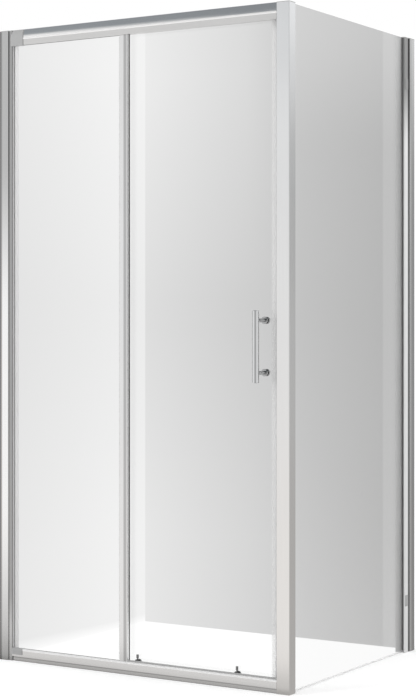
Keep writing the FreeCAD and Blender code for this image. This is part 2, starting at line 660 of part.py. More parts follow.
def end_profile(x0, x1, nose_at_left, front, back, z0, z1):
    """A slim channel on a pane's upright edge, with a hollow nose past the glass."""
    y0 = front - SLIM_GAP - SLIM_WALL
    y1 = back + SLIM_GAP + SLIM_WALL
    body = box(x0, x1, y0, y1, z0, z1)
    nose_end = x0 if nose_at_left else x1
    body = body.makeFillet(SLIM_WALL, edges_at(body, x=nose_end, y=y0) + edges_at(body, x=nose_end, y=y1))
    slot_floor = END_NOSE - SLIM_GAP
    if nose_at_left:
        nose = (x0 + SLIM_WALL, x0 + slot_floor - SLIM_WALL)
        slot = (x0 + slot_floor, x1)
    else:
        nose = (x1 - slot_floor + SLIM_WALL, x1 - SLIM_WALL)
        slot = (x0, x1 - slot_floor)
    return cut(body, [box(a, b, y0 + SLIM_WALL, y1 - SLIM_WALL, z0, z1) for a, b in (nose, slot)])


def fixed_end_profile():
    return end_profile(
        FIXED_END - END_PROFILE_WIDTH,
        FIXED_END,
        False,
        FIXED_FRONT,
        FIXED_BACK,
        SILL_HEIGHT + CLIP_GAP,
        HEADER_BOTTOM - CLIP_GAP,
    )


def magnet_strip():
    """The magnetic strip on the corner post that the door shuts against."""
    middle = (DOOR_FRONT + DOOR_BACK) / 2
    y1 = min(middle + MAGNET_STRIP_WIDTH / 2, REAR)
    x0 = RAIL_RIGHT - MAGNET_STRIP
    low = SILL_HEIGHT + GASKET_LIP
    high = HEADER_BOTTOM - GASKET_LIP
    return box(x0, RAIL_RIGHT, y1 - MAGNET_STRIP_WIDTH, y1, low, high)


# ------------------------------------------------------------------ screws and bumpers
def flat_screw(seat, direction, length):
    """A screw with a low round head behind its seat, and its shank ahead of it."""
    head = rod(SCREW_HEAD_R, seat - direction * SCREW_HEAD, direction, SCREW_HEAD)
    return join([head, rod(SCREW_R, seat, direction, length)])


def is_at(edge, centre):
    """True for a circular edge round this centre."""
    return hasattr(edge.Curve, "Center") and (edge.Curve.Center - centre).Length < 1e-6


def frame_screws():
    """The screws that draw header and sill to the two posts: heads inside the posts, ends in the ports."""
    screws = []
    for index, (y, z) in enumerate(screw_ports()):
        in_groove = index % 2 == 0
        depth = GROOVE_DEPTH + WALL if in_groove else WALL
        screws.append(flat_screw(V(RAIL_LEFT - depth, y, z), RIGHT, depth + SCREW_BITE))
        screws.append(flat_screw(V(RAIL_RIGHT + WALL, y, z), RIGHT * -1, WALL + SCREW_BITE))
    return screws


def profile_screws():
    """The screws that hold each wall post in its profile, from inside the enclosure."""
    length = PROFILE_PROUD + NECK_RECESS + WALL + SCREW_R
    seat_v = FRAME_DEPTH + PROFILE_PROUD
    return [
        flat_screw(edge.point(PROFILE_REACH / 2, seat_v, z), edge.inward * -1, length)
        for edge in (FRONT_EDGE, SIDE_EDGE)
        for z in profile_screw_heights()
    ]


def door_bumpers():
    """The two blocks on the header's shelf that stop the top wheels."""
    wheel_reach = TOP_SPACING / 2 + WHEEL_R
    open_stop = UNIT_X[0] - wheel_reach - DOOR_TRAVEL - BUMPER_GAP
    shut_stop = UNIT_X[1] + wheel_reach + BUMPER_GAP
    crown = TOP_SHELF + TRACK_HEIGHT - TRACK_WIDTH / 2
    half_slot = TRACK_WIDTH / 2 + CLIP_GAP
    saddle = rod_x(half_slot, RAIL_LEFT, RAIL_RIGHT, WHEEL_Y, crown)
    slot = box(RAIL_LEFT, RAIL_RIGHT, WHEEL_Y - half_slot, WHEEL_Y + half_slot, TOP_SHELF, crown)
    blocks = []
    for x0 in (open_stop - BUMPER_LENGTH, shut_stop):
        block = box(
            x0,
            x0 + BUMPER_LENGTH,
            WHEEL_Y - WHEEL_WIDTH / 2,
            SHELF_REAR,
            TOP_SHELF + CLIP_GAP,
            TOP_AXLE_Z + BUMPER_PAST_AXLES,
        )
        uprights = [edge for edge in block.Edges if edge.BoundBox.ZLength > WHEEL_R]
        block = block.makeChamfer(EDGE_ROUND, uprights)
        blocks.append(cut(block, [saddle, slot]))
    return blocks


# ------------------------------------------------------------------ side pane
def side_glass():
    return box(SIDE_INNER, SIDE_OUTER, SIDE_GLASS_FRONT, SIDE_GLASS_BACK, BOTTOM_SEAL, SIDE_GLASS_TOP)


def side_gasket(y_bottom, y_mouth):
    """A gasket of the side pane: in the groove from its bottom to its mouth, with lips past it."""
    lip_end = y_mouth + math.copysign(GASKET_LIP, y_mouth - y_bottom)
    body = box(
        SIDE_INNER - GASKET,
        SIDE_OUTER + GASKET,
        min(y_bottom, lip_end),
        max(y_bottom, lip_end),
        BOTTOM_SEAL + BOTTOM_SEAL_LIP + CLIP_GAP,
        SIDE_GLASS_TOP,
    )
    return body.cut(side_glass())


def side_bottom_seal():
    """The clear channel under the side pane, between the two posts."""
    body = box(
        SIDE_INNER - SEAL_WALL,
        SIDE_OUTER + SEAL_WALL,
        REAR + CLIP_GAP,
        BACK_WALL - SIDE_FACE_END - CLIP_GAP,
        0,
        BOTTOM_SEAL + BOTTOM_SEAL_LIP,
    )
    return body.cut(side_glass())


def cover_u():
    return (SIDE_FACE_START + SIDE_FACE_END) / 2


def cover_heights():
    return (COVER_RISE, HEIGHT - COVER_DROP)


def side_screw_covers():
    """The two small clip-on covers on the outer face of the back post."""
    covers = []
    for z in cover_heights():
        plate = SIDE_EDGE.box(
            cover_u() - COVER_WIDTH / 2,
            cover_u() + COVER_WIDTH / 2,
            -COVER_SKIN,
            0,
            z - COVER_HEIGHT / 2,
            z + COVER_HEIGHT / 2,
        )
        rim = edges_at(plate, x=RIGHT_FACE + COVER_SKIN)
        plate = plate.makeFillet(COVER_ROUND, rim)
        peg = SETBACK - GASKET - WALL - LIP_GAP
        covers.append(join([plate, SIDE_EDGE.rod_inward(COVER_PEG_R, cover_u(), 0, peg, z)]))
    return covers


# ------------------------------------------------------------------ door
def bolt_places():
    """(x, z) of the bolts through the door's glass, top pair first."""
    return [(x, z) for z in (TOP_BOLT_Z, BOTTOM_BOLT_RISE) for x in UNIT_X]


def door_glass():
    pane = box(DOOR_GLASS_LEFT, DOOR_GLASS_RIGHT, DOOR_FRONT, DOOR_BACK, DOOR_BOTTOM, DOOR_TOP)
    holes = [rod_y(BOLT_HOLE_R, x, DOOR_FRONT, DOOR_BACK, z) for x, z in bolt_places()]
    holes += [rod_y(STUD_R + FIT, HANDLE_X, DOOR_FRONT, DOOR_BACK, z) for z in STANDOFF_Z]
    return cut(pane, holes)


def door_trailing_profile():
    return end_profile(
        DOOR_LEFT,
        DOOR_LEFT + TRAILING_WIDTH,
        True,
        DOOR_FRONT,
        DOOR_BACK,
        DOOR_TRIM_BOTTOM,
        DOOR_TRIM_TOP,
    )


def door_trailing_seal():
    """The soft fin on the door's trailing profile that brushes the back of the fixed pane."""
    x0 = DOOR_LEFT + SLIM_WALL
    face = DOOR_FRONT - SLIM_GAP - SLIM_WALL
    low = SILL_HEIGHT + GASKET_LIP
    high = HEADER_BOTTOM - GASKET_LIP
    foot = box(x0, x0 + FIN_FOOT, face - SEAL_WALL, face, low, high)
    fin = box(x0, x0 + SEAL_WALL, FIXED_BACK + LIP_GAP, face - SEAL_WALL, low, high)
    return join([foot, fin])


def door_magnet_seal():
    """The clear seal on the closing edge: a channel on the glass and a chamber for the magnet."""
    y0 = DOOR_FRONT - SLIM_GAP - SEAL_WALL
    y1 = DOOR_BACK + SLIM_GAP + SEAL_WALL
    x_grip = DOOR_GLASS_RIGHT - SEAL_GRIP
    body = box(x_grip, DOOR_RIGHT, y0, y1, DOOR_TRIM_BOTTOM, DOOR_TRIM_TOP)
    slot = box(
        x_grip, DOOR_GLASS_RIGHT + SLIM_GAP, y0 + SEAL_WALL, y1 - SEAL_WALL, DOOR_TRIM_BOTTOM, DOOR_TRIM_TOP
    )
    chamber = box(
        DOOR_GLASS_RIGHT + SLIM_GAP + SEAL_WALL,
        DOOR_RIGHT - SEAL_WALL,
        y0 + SEAL_WALL,
        y1 - SEAL_WALL,
        DOOR_TRIM_BOTTOM,
        DOOR_TRIM_TOP,
    )
    return cut(body, [slot, chamber])


def door_magnet():
    """The magnet bar in the seal's chamber."""
    x1 = DOOR_RIGHT - SEAL_WALL
    return box(
        x1 - MAGNET,
        x1,
        DOOR_FRONT - SLIM_GAP,
        DOOR_BACK + SLIM_GAP,
        DOOR_TRIM_BOTTOM,
        DOOR_TRIM_TOP,
    )


# ------------------------------------------------------------------ handle
def handle_bar():
    bar = rod_z(BAR_R, HANDLE_X, BAR_Y, BAR_MIDDLE - BAR_LENGTH / 2, BAR_MIDDLE + BAR_LENGTH / 2)
    ends = [edge for edge in bar.Edges if edge.isClosed()]
    return bar.makeChamfer(BAR_BEVEL, ends)


def handle_standoffs():
    """The two posts between the bar and the glass, each with a collar, hollowed to the bar and the stud."""
    seat = DOOR_FRONT - WASHER
    bar = rod_z(BAR_R + FIT, HANDLE_X, BAR_Y, BAR_MIDDLE - BAR_LENGTH / 2, BAR_MIDDLE + BAR_LENGTH / 2)
    posts = []
    for z in STANDOFF_Z:
        collar = rod_y(COLLAR_R, HANDLE_X, seat - COLLAR, seat, z)
        collar = collar.makeChamfer(COLLAR_BEVEL, [edge for edge in collar.Edges if edge.isClosed()])
        post = join([collar, rod_y(STANDOFF_R, HANDLE_X, BAR_Y, seat - COLLAR / 2, z)])
        posts.append(cut(post, [bar, rod_y(STUD_R + FIT, HANDLE_X, seat - STUD_BITE, seat, z)]))
    return posts


def handle_washers():
    """Soft washers on both faces of the glass."""
    washers = []
    for z in STANDOFF_Z:
        for y0 in (DOOR_FRONT - WASHER, DOOR_BACK):
            disc = rod_y(COLLAR_R - WASHER, HANDLE_X, y0, y0 + WASHER, z)
            washers.append(disc.cut(rod_y(STUD_R + FIT, HANDLE_X, y0, y0 + WASHER, z)))
    return washers


def handle_studs():
    """The threaded studs through the glass, from standoff to inner knob."""
    y0 = DOOR_FRONT - WASHER - STUD_BITE + FIT
    y1 = DOOR_BACK + WASHER + KNOB / 2
    return [rod_y(STUD_R, HANDLE_X, y0, y1, z) for z in STANDOFF_Z]


def handle_inner_knobs():
    knobs = []
    y0 = DOOR_BACK + WASHER
    for z in STANDOFF_Z:
        knob = rod_y(COLLAR_R, HANDLE_X, y0, y0 + KNOB, z)
        far_rim = [edge for edge in knob.Edges if is_at(edge, V(HANDLE_X, y0 + KNOB, z))]
        knob = knob.makeChamfer(KNOB_BEVEL, far_rim)
        knobs.append(knob.cut(rod_y(STUD_R + FIT, HANDLE_X, y0, y0 + KNOB / 2 + FIT, z)))
    return knobs


# ------------------------------------------------------------------ roller units
def wheel(x, z):
    """A nylon wheel whose V groove runs astride the track's bead."""
    half = WHEEL_WIDTH / 2
    bore = AXLE_R + RUNNING
    profile = [(bore, -half), (WHEEL_R, -half), (GROOVE_R, 0), (WHEEL_R, half), (bore, half)]
    points = [V(x + radius, WHEEL_Y + across, z) for radius, across in profile]
    face = Part.Face(Part.makePolygon(points + points[:1]))
    return face.revolve(V(x, WHEEL_Y, z), INWARD, 360)


def axle(x, z, back):
    """A riveted axle: its head in front of the wheel, its end in the carrier."""
    shank = rod_y(AXLE_R, x, AXLE_HEAD_BACK - AXLE_HEAD, back, z)
    head = rod_y(AXLE_HEAD_R, x, AXLE_HEAD_BACK - AXLE_HEAD, AXLE_HEAD_BACK, z)
    return join([shank, head])


def wheel_x(unit_x, spacing):
    return (unit_x - spacing / 2, unit_x + spacing / 2)


def top_carriage(unit_x):
    """A top roller carriage: a three-lobed plate on the glass, with bosses for axles and bolt."""
    left, right = wheel_x(unit_x, TOP_SPACING)
    lobes = [(x, TOP_AXLE_Z, AXLE_LOBE_R) for x in (left, right)] + [(unit_x, TOP_BOLT_Z, TOP_LOBE_R)]
    plate = hull_plate(lobes, GUIDE_FRONT, DOOR_FRONT)
    bosses = [rod_y(AXLE_HEAD_R, x, CARRIER_FRONT, GUIDE_FRONT, TOP_AXLE_Z) for x in (left, right)]
    bosses.append(rod_y(TOP_LOBE_R - WALL, unit_x, CARRIER_FRONT, GUIDE_FRONT, TOP_BOLT_Z))
    holes = [rod_y(AXLE_R + FIT, x, CARRIER_FRONT, DOOR_FRONT - WALL, TOP_AXLE_Z) for x in (left, right)]
    holes.append(rod_y(BOLT_R + FIT, unit_x, CARRIER_FRONT + WALL, DOOR_FRONT, TOP_BOLT_Z))
    return cut(join([plate] + bosses), holes)


def top_wheel_axles():
    back = DOOR_FRONT - WALL - FIT
    return [axle(x, TOP_AXLE_Z, back) for unit_x in UNIT_X for x in wheel_x(unit_x, TOP_SPACING)]


def bottom_guide(unit_x):
    """A bottom guide: a plate on the glass, lips beside the slider's tongue, a collar for its stem."""
    left, right = wheel_x(unit_x, BOTTOM_SPACING)
    shoulder_left, shoulder_right = wheel_x(unit_x, GUIDE_SHOULDERS)
    shoulder_z = COLLAR_TOP - GUIDE_SHOULDER_R
    lobes = [(x, BOTTOM_AXLE_RISE + WALL, SLIDER_LOBE_R) for x in (left, right)]
    lobes += [(x, shoulder_z, GUIDE_SHOULDER_R) for x in (shoulder_right, shoulder_left)]
    plate = hull_plate(lobes, GUIDE_FRONT, DOOR_FRONT)
    reach = TONGUE_HALF + SLIDER_GAP
    collar_half = STEM_R + GUIDE_LIP
    collar = box(
        unit_x - collar_half, unit_x + collar_half, STEM_Y - collar_half, GUIDE_FRONT, COLLAR_RISE, COLLAR_TOP
    )
    lip_low = BOTTOM_BOLT_RISE - TONGUE_HALF
    lip_high = COLLAR_TOP - GUIDE_LIP
    lips = [
        box(x, x + GUIDE_LIP, SLIDER_FRONT, GUIDE_FRONT, lip_low, lip_high)
        for x in (unit_x - reach - GUIDE_LIP, unit_x + reach)
    ]
    bridge = box(
        unit_x - reach - GUIDE_LIP / 2,
        unit_x + reach + GUIDE_LIP / 2,
        SLIDER_FRONT,
        GUIDE_FRONT,
        COLLAR_RISE,
        lip_high,
    )
    body = join([plate, collar, bridge] + lips)
    stem_hole = rod_z(STEM_R + STEM_PLAY, unit_x, STEM_Y, COLLAR_RISE, COLLAR_TOP)
    bolt_hole = rod_y(BOLT_R + FIT, unit_x, GUIDE_FRONT, DOOR_FRONT, BOTTOM_BOLT_RISE)
    return cut(body, [stem_hole, bolt_hole])


def release_slider(unit_x):
    """The slider that carries two bottom wheels: cross bar, tongue, stem and a skirted button to press."""
    left, right = wheel_x(unit_x, BOTTOM_SPACING)
    tongue_top = COLLAR_RISE - SLIDER_GAP
    low = BOTTOM_AXLE_RISE - SLIDER_LOBE_R
    high = BOTTOM_AXLE_RISE + SLIDER_LOBE_R
    ends = [rod_y(SLIDER_LOBE_R, x, SLIDER_FRONT, SLIDER_BACK, BOTTOM_AXLE_RISE) for x in (left, right)]
    bar = join(ends + [box(left, right, SLIDER_FRONT, SLIDER_BACK, low, high)])
    tongue = box(
        unit_x - TONGUE_HALF, unit_x + TONGUE_HALF, SLIDER_FRONT, SLIDER_BACK, BOTTOM_AXLE_RISE, tongue_top
    )
    stem = rod_z(STEM_R, unit_x, STEM_Y, tongue_top - WALL, BUTTON_TOP - WALL)
    button = rod_z(SPRING_ROOM_R + BUTTON_WALL, unit_x, STEM_Y, BUTTON_BOTTOM, BUTTON_TOP)
    top_rim = [edge for edge in button.Edges if is_at(edge, V(unit_x, STEM_Y, BUTTON_TOP))]
    button = button.makeChamfer(BUTTON_BEVEL, top_rim)
    button = button.cut(rod_z(SPRING_ROOM_R, unit_x, STEM_Y, BUTTON_BOTTOM, BUTTON_TOP - BUTTON_SKIN))
    holes = [rod_y(AXLE_R + FIT, x, SLIDER_FRONT, SLIDER_BACK, BOTTOM_AXLE_RISE) for x in (left, right)]
    return cut(join([bar, tongue, stem, button]), holes)


def bottom_axles(unit_x):
    return [axle(x, BOTTOM_AXLE_RISE, SLIDER_BACK) for x in wheel_x(unit_x, BOTTOM_SPACING)]


def release_spring(unit_x):
    """The spring round the stem, from the guide's collar to the button."""
    z0 = COLLAR_TOP + SPRING_WIRE_R + RUNNING
    z1 = BUTTON_TOP - BUTTON_SKIN - SPRING_WIRE_R - RUNNING
    pitch = (z1 - z0) / SPRING_TURNS

    def coil_point(turns):
        angle = 2 * math.pi * turns
        return V(unit_x + SPRING_R * math.cos(angle), STEM_Y + SPRING_R * math.sin(angle), z0 + pitch * turns)

    half_turns = [i / 2 for i in range(2 * SPRING_TURNS)]
    arcs = [Part.Arc(coil_point(t), coil_point(t + 1 / 4), coil_point(t + 1 / 2)) for t in half_turns]
    heading = V(0, 2 * math.pi * SPRING_R, pitch).normalize()
    across = heading.cross(RIGHT)
    corners = []
    for i in range(WIRE_SIDES):
        angle = 2 * math.pi * i / WIRE_SIDES
        offset = RIGHT * math.cos(angle) + across * math.sin(angle)
        corners.append(coil_point(0) + offset * SPRING_WIRE_R)
    section = Part.makePolygon(corners + corners[:1])
    return Part.Wire([arc.toShape() for arc in arcs]).makePipeShell([section], True, False)


def carriage_bolts():
    """The bolts that clamp carriages and guides to the glass: bevelled heads inside the enclosure."""
    bolts = []
    for x, z in bolt_places():
        start = CARRIER_FRONT + WALL + FIT if z == TOP_BOLT_Z else GUIDE_FRONT + FIT
        seat = DOOR_BACK + WASHER
        head = rod_y(BOLT_HEAD_R, x, seat, seat + BOLT_HEAD, z)
        far_rim = [edge for edge in head.Edges if is_at(edge, V(x, seat + BOLT_HEAD, z))]
        head = head.makeChamfer(BOLT_HEAD_BEVEL, far_rim)
        bolts.append(join([head, rod_y(BOLT_R, x, start, seat, z)]))
    return bolts


def bolt_bushes():
    """The flanged plastic bushes that keep the bolts off the glass."""
    bushes = []
    for x, z in bolt_places():
        sleeve = rod_y(BOLT_HOLE_R - BUSH_WALL_GAP, x, DOOR_FRONT, DOOR_BACK, z)
        flange = rod_y(WASHER_R, x, DOOR_BACK, DOOR_BACK + WASHER, z)
        bore = rod_y(BOLT_R + FIT, x, DOOR_FRONT, DOOR_BACK + WASHER, z)
        bushes.append(join([sleeve, flange]).cut(bore))
    return bushes


# ------------------------------------------------------------------ assembly
UNIT_NAMES = ("left", "right")
WHEEL_NAMES = ("far_left", "mid_left", "mid_right", "far_right")


def frame_nodes():
    return {
        "front_wall_profile": wall_profile(FRONT_EDGE),
        "front_wall_post": front_wall_post(),
        "front_profile_cap": profile_cap(FRONT_EDGE),
        "front_post_cap": post_cap(FRONT_EDGE, FRONT_FACE_END),
        "header_rail": header_rail(),
        "header_end_cap": header_end_cap(),
        "header_cover_strip": cover_strip(HEADER_BOTTOM, HEADER_CEILING),
        "header_gasket": rail_gasket(HEADER_BOTTOM + CLIP_GAP, HEADER_CEILING),
        "sill_rail": sill_rail(),
        "sill_end_cap": sill_end_cap(),
        "sill_cover_strip": cover_strip(SILL_HEIGHT, SILL_FLOOR, SILL_STRIP_PROUD),
        "sill_gasket": rail_gasket(SILL_FLOOR, SILL_HEIGHT - CLIP_GAP),
        "corner_post": corner_post(),
        "corner_post_cap": corner_post_cap(),
        "corner_magnet_strip": magnet_strip(),
        "fixed_glass": fixed_glass(),
        "fixed_post_gasket": fixed_post_gasket(),
        "fixed_end_profile": fixed_end_profile(),
        "frame_screws": frame_screws(),
        "profile_screws": profile_screws(),
        "door_bumpers": door_bumpers(),
        "side_wall_profile": wall_profile(SIDE_EDGE),
        "side_wall_post": side_wall_post(),
        "side_profile_cap": profile_cap(SIDE_EDGE),
        "side_post_cap": post_cap(SIDE_EDGE, SIDE_FACE_END),
        "side_screw_covers": side_screw_covers(),
        "side_glass": side_glass(),
        "side_corner_gasket": side_gasket(REAR - GROOVE_DEPTH, REAR),
        "side_post_gasket": side_gasket(
            BACK_WALL - SIDE_FACE_END + GROOVE_DEPTH, BACK_WALL - SIDE_FACE_END
        ),
        "side_bottom_seal": side_bottom_seal(),
    }


def door_nodes():
    return {
        "door_glass": door_glass(),
        "door_trailing_profile": door_trailing_profile(),
        "door_trailing_seal": door_trailing_seal(),
        "door_magnet_seal": door_magnet_seal(),
        "door_magnet": door_magnet(),
        "handle_bar": handle_bar(),
        "handle_standoffs": handle_standoffs(),
        "handle_washers": handle_washers(),
        "handle_studs": handle_studs(),
        "handle_inner_knobs": handle_inner_knobs(),
        "top_carriages": [top_carriage(x) for x in UNIT_X],
        "top_wheel_axles": top_wheel_axles(),
        "bottom_guides": [bottom_guide(x) for x in UNIT_X],
        "carriage_bolts": carriage_bolts(),
        "bolt_bushes": bolt_bushes(),
    }


def roller_nodes():
    nodes = {}
    for name, unit_x in zip(UNIT_NAMES, UNIT_X):
        nodes["release_slider_" + name] = release_slider(unit_x)
        nodes["release_spring_" + name] = release_spring(unit_x)
        nodes["bottom_axles_" + name] = bottom_axles(unit_x)
    top = [x for unit_x in UNIT_X for x in wheel_x(unit_x, TOP_SPACING)]
    bottom = [x for unit_x in UNIT_X for x in wheel_x(unit_x, BOTTOM_SPACING)]
    for name, top_x, bottom_x in zip(WHEEL_NAMES, top, bottom):
        nodes["top_wheel_" + name] = wheel(top_x, TOP_AXLE_Z)
        nodes["bottom_wheel_" + name] = wheel(bottom_x, BOTTOM_AXLE_RISE)
    return nodes


def write(name, solids):
    """One STEP file per node: a single solid, or a group of like solids."""
    if not isinstance(solids, list):
        solids = [solids]
    for solid in solids:
        if not solid.isValid() or len(solid.Solids) != 1:
            raise ValueError(f"{name} has a piece that is not one valid solid")
    shape = solids[0] if len(solids) == 1 else Part.makeCompound(solids)
    shape.exportStep(os.path.join("parts", name + ".step"))


def main():
    os.makedirs("parts", exist_ok=True)
    for nodes in (frame_nodes(), door_nodes(), roller_nodes()):
        for name, solids in nodes.items():
            write(name, solids)
            print(name)


main()
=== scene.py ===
"""Looks of a corner shower enclosure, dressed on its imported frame."""

import math

import bpy
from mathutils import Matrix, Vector

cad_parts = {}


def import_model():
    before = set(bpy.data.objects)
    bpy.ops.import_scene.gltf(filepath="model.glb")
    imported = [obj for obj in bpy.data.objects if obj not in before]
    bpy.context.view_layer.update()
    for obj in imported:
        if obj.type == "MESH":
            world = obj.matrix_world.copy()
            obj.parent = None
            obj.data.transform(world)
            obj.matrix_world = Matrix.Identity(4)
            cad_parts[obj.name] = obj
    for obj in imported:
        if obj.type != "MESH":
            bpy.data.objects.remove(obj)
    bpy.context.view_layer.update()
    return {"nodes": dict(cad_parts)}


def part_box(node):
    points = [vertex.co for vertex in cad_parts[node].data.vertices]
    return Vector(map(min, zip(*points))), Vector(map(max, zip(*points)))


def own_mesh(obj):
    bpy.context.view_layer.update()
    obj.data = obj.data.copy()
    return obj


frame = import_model()

NODES = frame["nodes"]

# ------------------------------------------------------------------ places read from the frame, in metres
LEFT_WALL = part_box("front_wall_profile")[0].x
RIGHT_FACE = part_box("corner_post")[1].x
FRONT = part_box("corner_post")[0].y
BACK_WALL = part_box("side_wall_profile")[1].y
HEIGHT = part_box("corner_post_cap")[1].z
RIDGE_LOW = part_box("header_rail")[0].z + 0.0165  # underside of the header's ridge
RIDGE_MIDDLE = RIDGE_LOW + 0.003
SLIM_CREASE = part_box("fixed_end_profile")[0].x + 0.019  # crease down the slim channel's face
POST_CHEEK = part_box("front_wall_post")[1].x  # cheek of the left post, beside the pane
POST_GASKET = FRONT + 0.006  # where the gasket in that cheek begins
DOOR_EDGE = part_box("door_glass")[1].x
SIDE_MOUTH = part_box("side_wall_profile")[0].y
SIDE_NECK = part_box("side_wall_post")[0].y + 0.0215  # where the side post narrows
SILL_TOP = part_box("sill_rail")[1].z
SILL_FOOT = SILL_TOP - 0.024  # where the sill's face ends, above its foot
STEP = 0.0004  # for sharp changes of tone


# ------------------------------------------------------------------ node helpers
class Graph:
    """A short way to add and link nodes in one tree."""

    def __init__(self, tree):
        self.tree = tree
        self.tree.nodes.clear()

    def add(self, kind, inputs=None, **settings):
        node = self.tree.nodes.new(kind)
        for name, value in settings.items():
            setattr(node, name, value)
        for name, value in (inputs or {}).items():
            self.put(node.inputs[name], value)
        return node

    def put(self, socket, value):
        if isinstance(value, bpy.types.NodeSocket):
            self.tree.links.new(value, socket)
        else:
            socket.default_value = value

    def math(self, operation, *values):
        node = self.add("ShaderNodeMath", operation=operation)
        for socket, value in zip(node.inputs, values):
            self.put(socket, value)
        return node.outputs[0]

    def map(self, value, low, high, to_low, to_high, smooth=False):
        node = self.add(
            "ShaderNodeMapRange",
            {"Value": value, "From Min": low, "From Max": high, "To Min": to_low, "To Max": to_high},
            interpolation_type="SMOOTHSTEP" if smooth else "LINEAR",
        )
        return node.outputs["Result"]

    def window(self, value, middle, half, soft, low, high):
        """high within half of the middle, and low from half + soft on."""
        off = self.math("ABSOLUTE", self.math("SUBTRACT", value, middle))
        return self.map(off, half, half + soft, high, low, smooth=True)

    def product(self, *values):
        result = values[0]
        for value in values[1:]:
            result = self.math("MULTIPLY", result, value)
        return result

    def blend(self, factor, low, high):
        """A value between two others."""
        node = self.add("ShaderNodeMix", data_type="FLOAT")
        for socket, value in zip((node.inputs[0], node.inputs[2], node.inputs[3]), (factor, low, high)):
            self.put(socket, value)
        return node.outputs[0]

    def mix(self, factor, low, high):
        """A colour between two others."""
        node = self.add("ShaderNodeMix", data_type="RGBA")
        for socket, value in zip((node.inputs[0], node.inputs[6], node.inputs[7]), (factor, low, high)):
            self.put(socket, value)
        return node.outputs[2]

    def mix_shaders(self, factor, low, high):
        node = self.add("ShaderNodeMixShader")
        for socket, value in zip(node.inputs, (factor, low.outputs[0], high.outputs[0])):
            self.put(socket, value)
        return node

    def tint(self, value, warmth=0.0):
        """A value as a grey, slightly warm above 0 and cool below."""
        red = self.product(value, self.math("ADD", 1.0, warmth))
        blue = self.product(value, self.math("SUBTRACT", 1.0, warmth))
        return self.add("ShaderNodeCombineColor", {"Red": red, "Green": value, "Blue": blue}).outputs[0]

    def place(self, kind="Object"):
        """The x, y and z of a texture coordinate."""
        where = self.add("ShaderNodeTexCoord").outputs[kind]
        return self.add("ShaderNodeSeparateXYZ", {"Vector": where}).outputs

    def noise(self, scale, stretch=(1, 1, 1), detail=3.0):
        """Noise over the object's own coordinates, in metres, finer where stretch is larger."""
        where = self.add("ShaderNodeTexCoord").outputs["Object"]
        spread = self.add("ShaderNodeMapping", {"Vector": where, "Scale": stretch})
        inputs = {"Vector": spread.outputs[0], "Scale": scale, "Detail": detail}
        return self.add("ShaderNodeTexNoise", inputs).outputs["Fac"]

    def bump(self, height, distance, strength=1.0):
        node = self.add("ShaderNodeBump", {"Height": height, "Distance": distance, "Strength": strength})
        return node.outputs["Normal"]

    def surface(self, shader, kind="ShaderNodeOutputMaterial"):
        self.add(kind, {"Surface": shader.outputs[0]})

    def principled(self, inputs):
        self.surface(self.add("ShaderNodeBsdfPrincipled", inputs))


def grey(level, warmth=0.0):
    """A grey as linear colour, slightly warm above 0 and cool below."""
    return (level * (1 + warmth), level, level * (1 - warmth), 1.0)


def new_material(name):
    material = bpy.data.materials.new(name)
    material.use_nodes = True
    return material, Graph(material.node_tree)


def dress(material, *names):
    """Gives CAD nodes this material in all their slots."""
    for name in names:
        obj = NODES[name]
        if not obj.material_slots:
            obj.data.materials.append(material)
        for slot in obj.material_slots:
            slot.material = material


# ------------------------------------------------------------------ materials
def aluminium(name, along, tone, roughness, warmth=0.0, metal=1.0):
    """Polished, anodised extrusion: faint draw lines along its length and a soft wandering of the gloss.

    tone, warmth and metal are numbers, or functions of the graph that give them from the place on it."""
    material, g = new_material(name)
    fine = tuple(4.0 if axis == along else 900.0 for axis in "xyz")
    lines = g.noise(1.0, stretch=fine, detail=2.0)
    cloud = g.noise(5.0, detail=2.0)
    value = g.product(tone(g) if callable(tone) else tone, g.map(lines, 0.3, 0.7, 0.965, 1.0))
    rough = g.map(cloud, 0.3, 0.7, roughness * 0.85, roughness * 1.15)
    g.principled(
        {
            "Base Color": g.tint(value, warmth(g) if callable(warmth) else warmth),
            "Metallic": metal(g) if callable(metal) else metal,
            "Roughness": g.math("ADD", rough, g.map(lines, 0.3, 0.7, 0, 0.03)),
            "Normal": g.bump(lines, 0.00002),
        }
    )
    return material


def header_ridge(g, low, high):
    """high on the header's ridge, and low elsewhere."""
    return g.window(g.place()["Z"], RIDGE_MIDDLE, 0.0025, 0.001, low, high)


def header_tone(g):
    """The header has painted reflection: darker below its ridge, and bright above it."""
    step = 1.5 * STEP
    # painted reflection: the band below the ridge is darker
    above = g.map(g.place()["Z"], RIDGE_LOW - step, RIDGE_LOW + step, 0.66, 1.0, smooth=True)
    # the ridge's own tone goes with its painted highlight
    return g.product(header_ridge(g, 1.0, 0.87), above)


def header_metal(g):
    """The ridge is made satin, a painted highlight that the lamps light white."""
    return header_ridge(g, 1.0, 0.25)


def corner_tone(g):
    """The corner post's outer side has painted shade, darker toward the top."""
    place = g.place()
    side = g.map(place["X"], RIGHT_FACE - 2 * STEP, RIGHT_FACE - STEP, 0.0, 1.0)
    # painted shade: the outer side darker toward the top
    return g.blend(side, 0.8, g.map(place["Z"], 1.0, 1.75, 0.86, 0.68))


def corner_warmth(g):
    """The corner post has a painted reflection tint: cool near the top and warm near the floor."""
    return g.map(g.place()["Z"], 0.1, HEIGHT, 0.022, -0.014)


def front_profile_tone(g):
    """The left wall profile has a painted highlight, brightest at half its height, and painted shade,
    evenly dark at the wall.
    """
    place = g.place()
    up = g.window(place["Z"], 0.75, 0.25, 0.55, 0.54, 0.97)
    out = g.map(place["X"], LEFT_WALL + 0.007, LEFT_WALL + 0.0125, 0.0, 1.0)
    return g.blend(out, 0.265, up)


def left_post_cheek(g):
    """1 on the left post's cheek beside the pane, and 0 on its front."""
    return g.map(g.place()["X"], POST_CHEEK - STEP, POST_CHEEK - STEP / 2, 0.0, 1.0)


